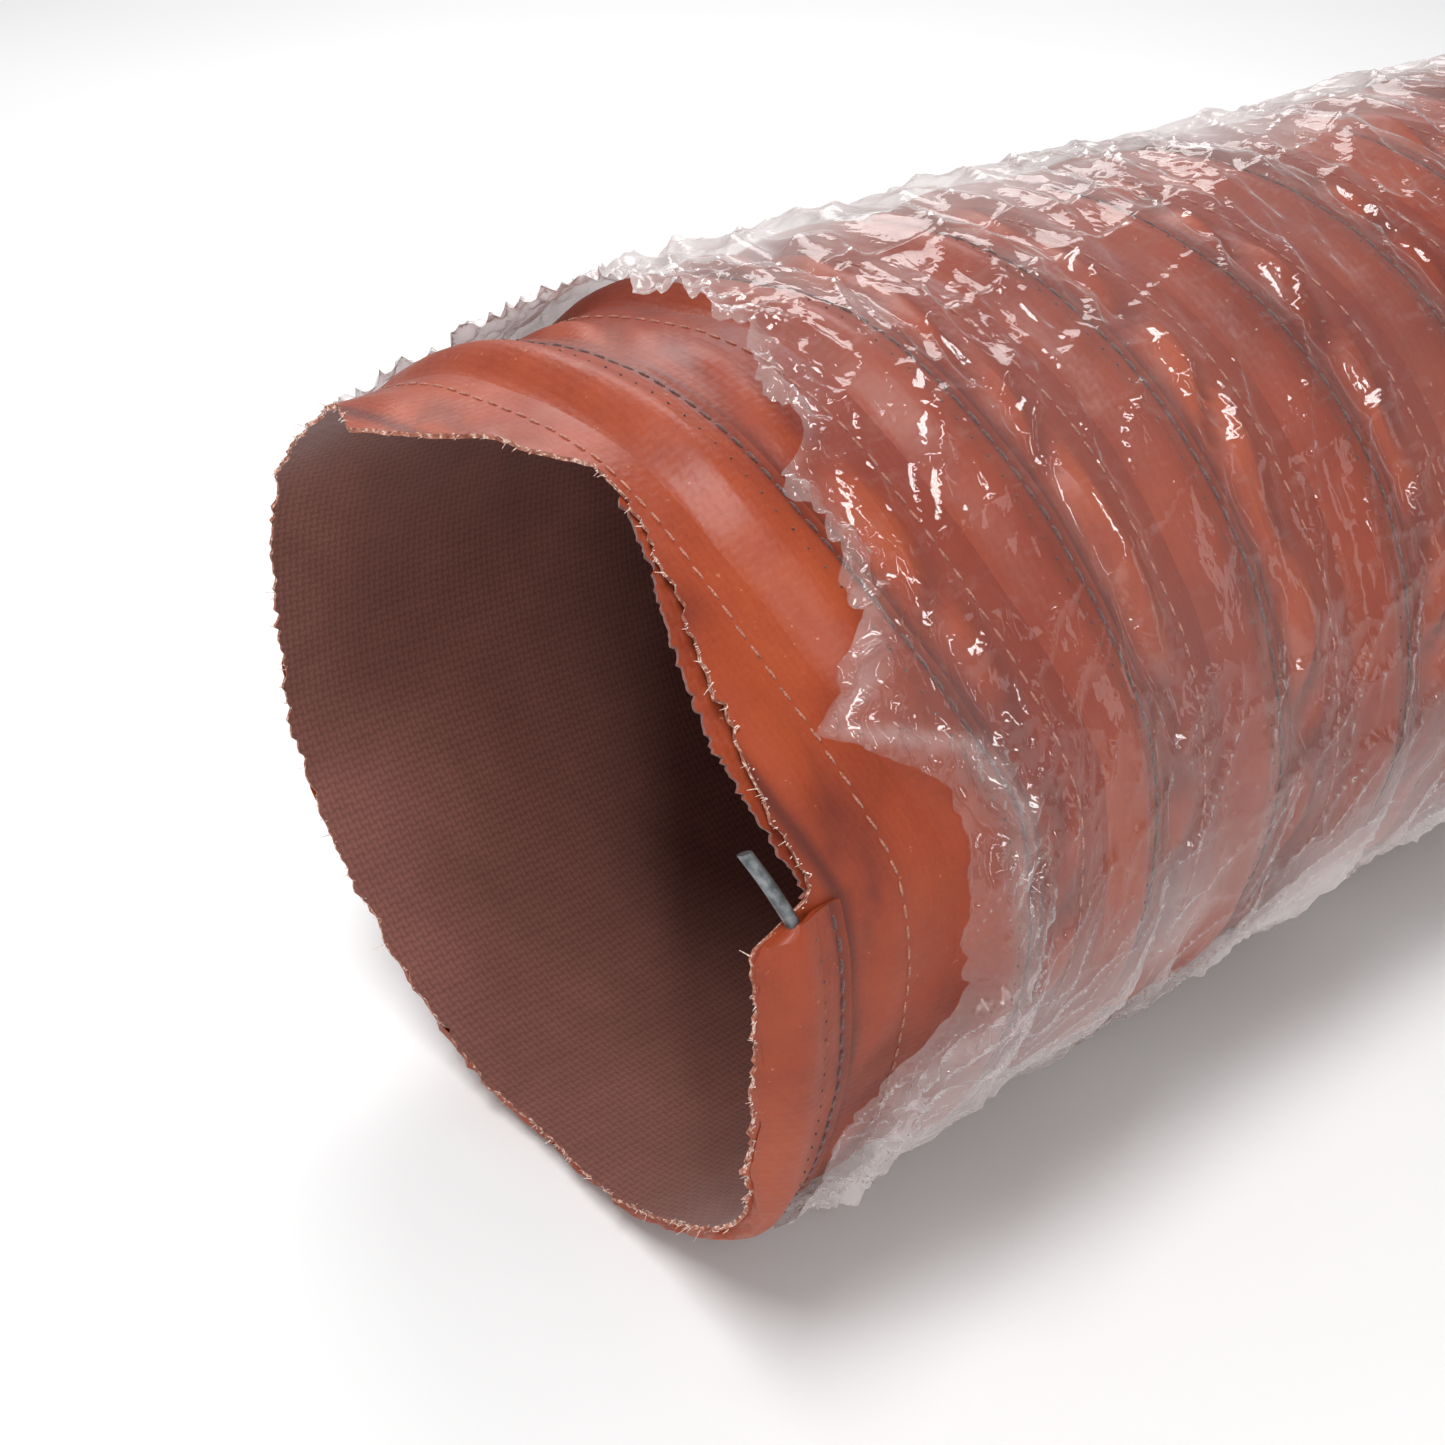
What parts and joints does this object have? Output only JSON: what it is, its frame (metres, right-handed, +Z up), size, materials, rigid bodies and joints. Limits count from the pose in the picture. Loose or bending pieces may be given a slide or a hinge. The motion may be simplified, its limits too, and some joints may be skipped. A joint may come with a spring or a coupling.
{
  "type": "flexible air duct",
  "caption": "Flexible round air duct: coated glass cloth wound in a helix and sewn round a spring wire, partly covered by clear wrapping film, with the cloth and wire cut off at the mouth.",
  "frame": {"origin": "middle of the duct's underside, on the plane that it lies on", "axes": "+X along the duct from the cut mouth to the far end, +Z up, +Y across"},
  "size_m": [0.3074, 0.1092, 0.1092],
  "materials": {
    "coated_cloth": "satin silicone coating",
    "single_cloth": "satin silicone coating, woven inside",
    "spring_wire": "drawn",
    "thread": "matte",
    "wrapping_film": "clear stretch film"
  },
  "bodies": {
    "hoop_01": {"hoop_cover_01": "coated_cloth", "wire_turn_01": "spring_wire", "seam_thread_01": "thread", "mouth_lip": "coated_cloth"},
    "cloth_01": {"web_01": "single_cloth"},
    "hoop_02": {"hoop_cover_02": "coated_cloth", "wire_turn_02": "spring_wire", "seam_thread_02": "thread", "film_turn_02": "wrapping_film"},
    "cloth_02": {"web_02": "single_cloth"},
    "hoop_03": {"hoop_cover_03": "coated_cloth", "wire_turn_03": "spring_wire", "seam_thread_03": "thread", "film_turn_03": "wrapping_film"},
    "cloth_03": {"web_03": "single_cloth"},
    "hoop_04": {"hoop_cover_04": "coated_cloth", "wire_turn_04": "spring_wire", "seam_thread_04": "thread", "film_turn_04": "wrapping_film"},
    "cloth_04": {"web_04": "single_cloth"},
    "hoop_05": {"hoop_cover_05": "coated_cloth", "wire_turn_05": "spring_wire", "seam_thread_05": "thread", "film_turn_05": "wrapping_film"},
    "cloth_05": {"web_05": "single_cloth"},
    "hoop_06": {"hoop_cover_06": "coated_cloth", "wire_turn_06": "spring_wire", "seam_thread_06": "thread", "film_turn_06": "wrapping_film"},
    "cloth_06": {"web_06": "single_cloth"},
    "hoop_07": {"hoop_cover_07": "coated_cloth", "wire_turn_07": "spring_wire", "seam_thread_07": "thread", "film_turn_07": "wrapping_film"},
    "cloth_07": {"web_07": "single_cloth"},
    "hoop_08": {"hoop_cover_08": "coated_cloth", "wire_turn_08": "spring_wire", "seam_thread_08": "thread", "film_turn_08": "wrapping_film"},
    "cloth_08": {"web_08": "single_cloth"},
    "hoop_09": {"hoop_cover_09": "coated_cloth", "wire_turn_09": "spring_wire", "seam_thread_09": "thread", "film_turn_09": "wrapping_film"},
    "cloth_09": {"web_09": "single_cloth"},
    "hoop_10": {"hoop_cover_10": "coated_cloth", "wire_turn_10": "spring_wire", "seam_thread_10": "thread", "film_turn_10": "wrapping_film"},
    "cloth_10": {"web_10": "single_cloth"},
    "hoop_11": {"hoop_cover_11": "coated_cloth", "wire_turn_11": "spring_wire", "seam_thread_11": "thread", "film_turn_11": "wrapping_film"},
    "cloth_11": {"web_11": "single_cloth"},
    "hoop_12": {"hoop_cover_12": "coated_cloth", "wire_turn_12": "spring_wire", "seam_thread_12": "thread", "film_turn_12": "wrapping_film", "tail_lip": "coated_cloth"}
  },
  "joints": [
    {"name": "squeeze_01", "type": "slide", "parent": "hoop_01", "child": "cloth_01", "axis": [1, 0, 0], "range_m": [-0.005, 0.0015], "stiffness_N_per_m": 150, "deforming": ["film_turn_02"]},
    {"name": "bend_01", "type": "hinge", "parent": "cloth_01", "child": "hoop_02", "pos_m": [-0.12791, 0, 0.05459], "axis": [0, 0, 1], "range_deg": [-8, 8], "stiffness_Nm_per_rad": 0.15},
    {"name": "squeeze_02", "type": "slide", "parent": "hoop_02", "child": "cloth_02", "axis": [1, 0, 0], "range_m": [-0.005, 0.0015], "stiffness_N_per_m": 150, "deforming": ["film_turn_03"]},
    {"name": "bend_02", "type": "hinge", "parent": "cloth_02", "child": "hoop_03", "pos_m": [-0.10291, 0, 0.05459], "axis": [0, 0, 1], "range_deg": [-8, 8], "stiffness_Nm_per_rad": 0.15},
    {"name": "squeeze_03", "type": "slide", "parent": "hoop_03", "child": "cloth_03", "axis": [1, 0, 0], "range_m": [-0.005, 0.0015], "stiffness_N_per_m": 150, "deforming": ["film_turn_04"]},
    {"name": "bend_03", "type": "hinge", "parent": "cloth_03", "child": "hoop_04", "pos_m": [-0.07791, 0, 0.05459], "axis": [0, 0, 1], "range_deg": [-8, 8], "stiffness_Nm_per_rad": 0.15},
    {"name": "squeeze_04", "type": "slide", "parent": "hoop_04", "child": "cloth_04", "axis": [1, 0, 0], "range_m": [-0.005, 0.0015], "stiffness_N_per_m": 150, "deforming": ["film_turn_05"]},
    {"name": "bend_04", "type": "hinge", "parent": "cloth_04", "child": "hoop_05", "pos_m": [-0.05291, 0, 0.05459], "axis": [0, 0, 1], "range_deg": [-8, 8], "stiffness_Nm_per_rad": 0.15},
    {"name": "squeeze_05", "type": "slide", "parent": "hoop_05", "child": "cloth_05", "axis": [1, 0, 0], "range_m": [-0.005, 0.0015], "stiffness_N_per_m": 150, "deforming": ["film_turn_06"]},
    {"name": "bend_05", "type": "hinge", "parent": "cloth_05", "child": "hoop_06", "pos_m": [-0.02791, 0, 0.05459], "axis": [0, 0, 1], "range_deg": [-8, 8], "stiffness_Nm_per_rad": 0.15},
    {"name": "squeeze_06", "type": "slide", "parent": "hoop_06", "child": "cloth_06", "axis": [1, 0, 0], "range_m": [-0.005, 0.0015], "stiffness_N_per_m": 150, "deforming": ["film_turn_07"]},
    {"name": "bend_06", "type": "hinge", "parent": "cloth_06", "child": "hoop_07", "pos_m": [-0.00291, 0, 0.05459], "axis": [0, 0, 1], "range_deg": [-8, 8], "stiffness_Nm_per_rad": 0.15},
    {"name": "squeeze_07", "type": "slide", "parent": "hoop_07", "child": "cloth_07", "axis": [1, 0, 0], "range_m": [-0.005, 0.0015], "stiffness_N_per_m": 150, "deforming": ["film_turn_08"]},
    {"name": "bend_07", "type": "hinge", "parent": "cloth_07", "child": "hoop_08", "pos_m": [0.02209, 0, 0.05459], "axis": [0, 0, 1], "range_deg": [-8, 8], "stiffness_Nm_per_rad": 0.15},
    {"name": "squeeze_08", "type": "slide", "parent": "hoop_08", "child": "cloth_08", "axis": [1, 0, 0], "range_m": [-0.005, 0.0015], "stiffness_N_per_m": 150, "deforming": ["film_turn_09"]},
    {"name": "bend_08", "type": "hinge", "parent": "cloth_08", "child": "hoop_09", "pos_m": [0.04709, 0, 0.05459], "axis": [0, 0, 1], "range_deg": [-8, 8], "stiffness_Nm_per_rad": 0.15},
    {"name": "squeeze_09", "type": "slide", "parent": "hoop_09", "child": "cloth_09", "axis": [1, 0, 0], "range_m": [-0.005, 0.0015], "stiffness_N_per_m": 150, "deforming": ["film_turn_10"]},
    {"name": "bend_09", "type": "hinge", "parent": "cloth_09", "child": "hoop_10", "pos_m": [0.07209, 0, 0.05459], "axis": [0, 0, 1], "range_deg": [-8, 8], "stiffness_Nm_per_rad": 0.15},
    {"name": "squeeze_10", "type": "slide", "parent": "hoop_10", "child": "cloth_10", "axis": [1, 0, 0], "range_m": [-0.005, 0.0015], "stiffness_N_per_m": 150, "deforming": ["film_turn_11"]},
    {"name": "bend_10", "type": "hinge", "parent": "cloth_10", "child": "hoop_11", "pos_m": [0.09709, 0, 0.05459], "axis": [0, 0, 1], "range_deg": [-8, 8], "stiffness_Nm_per_rad": 0.15},
    {"name": "squeeze_11", "type": "slide", "parent": "hoop_11", "child": "cloth_11", "axis": [1, 0, 0], "range_m": [-0.005, 0.0015], "stiffness_N_per_m": 150, "deforming": ["film_turn_12"]},
    {"name": "bend_11", "type": "hinge", "parent": "cloth_11", "child": "hoop_12", "pos_m": [0.12209, 0, 0.05459], "axis": [0, 0, 1], "range_deg": [-8, 8], "stiffness_Nm_per_rad": 0.15}
  ],
  "couplings": [
    {"joint": "squeeze_02", "follows": "squeeze_01", "ratio": 1},
    {"joint": "bend_02", "follows": "bend_01", "ratio": 1},
    {"joint": "squeeze_03", "follows": "squeeze_01", "ratio": 1},
    {"joint": "bend_03", "follows": "bend_01", "ratio": 1},
    {"joint": "squeeze_04", "follows": "squeeze_01", "ratio": 1},
    {"joint": "bend_04", "follows": "bend_01", "ratio": 1},
    {"joint": "squeeze_05", "follows": "squeeze_01", "ratio": 1},
    {"joint": "bend_05", "follows": "bend_01", "ratio": 1},
    {"joint": "squeeze_06", "follows": "squeeze_01", "ratio": 1},
    {"joint": "bend_06", "follows": "bend_01", "ratio": 1},
    {"joint": "squeeze_07", "follows": "squeeze_01", "ratio": 1},
    {"joint": "bend_07", "follows": "bend_01", "ratio": 1},
    {"joint": "squeeze_08", "follows": "squeeze_01", "ratio": 1},
    {"joint": "bend_08", "follows": "bend_01", "ratio": 1},
    {"joint": "squeeze_09", "follows": "squeeze_01", "ratio": 1},
    {"joint": "bend_09", "follows": "bend_01", "ratio": 1},
    {"joint": "squeeze_10", "follows": "squeeze_01", "ratio": 1},
    {"joint": "bend_10", "follows": "bend_01", "ratio": 1},
    {"joint": "squeeze_11", "follows": "squeeze_01", "ratio": 1},
    {"joint": "bend_11", "follows": "bend_01", "ratio": 1}
  ]
}
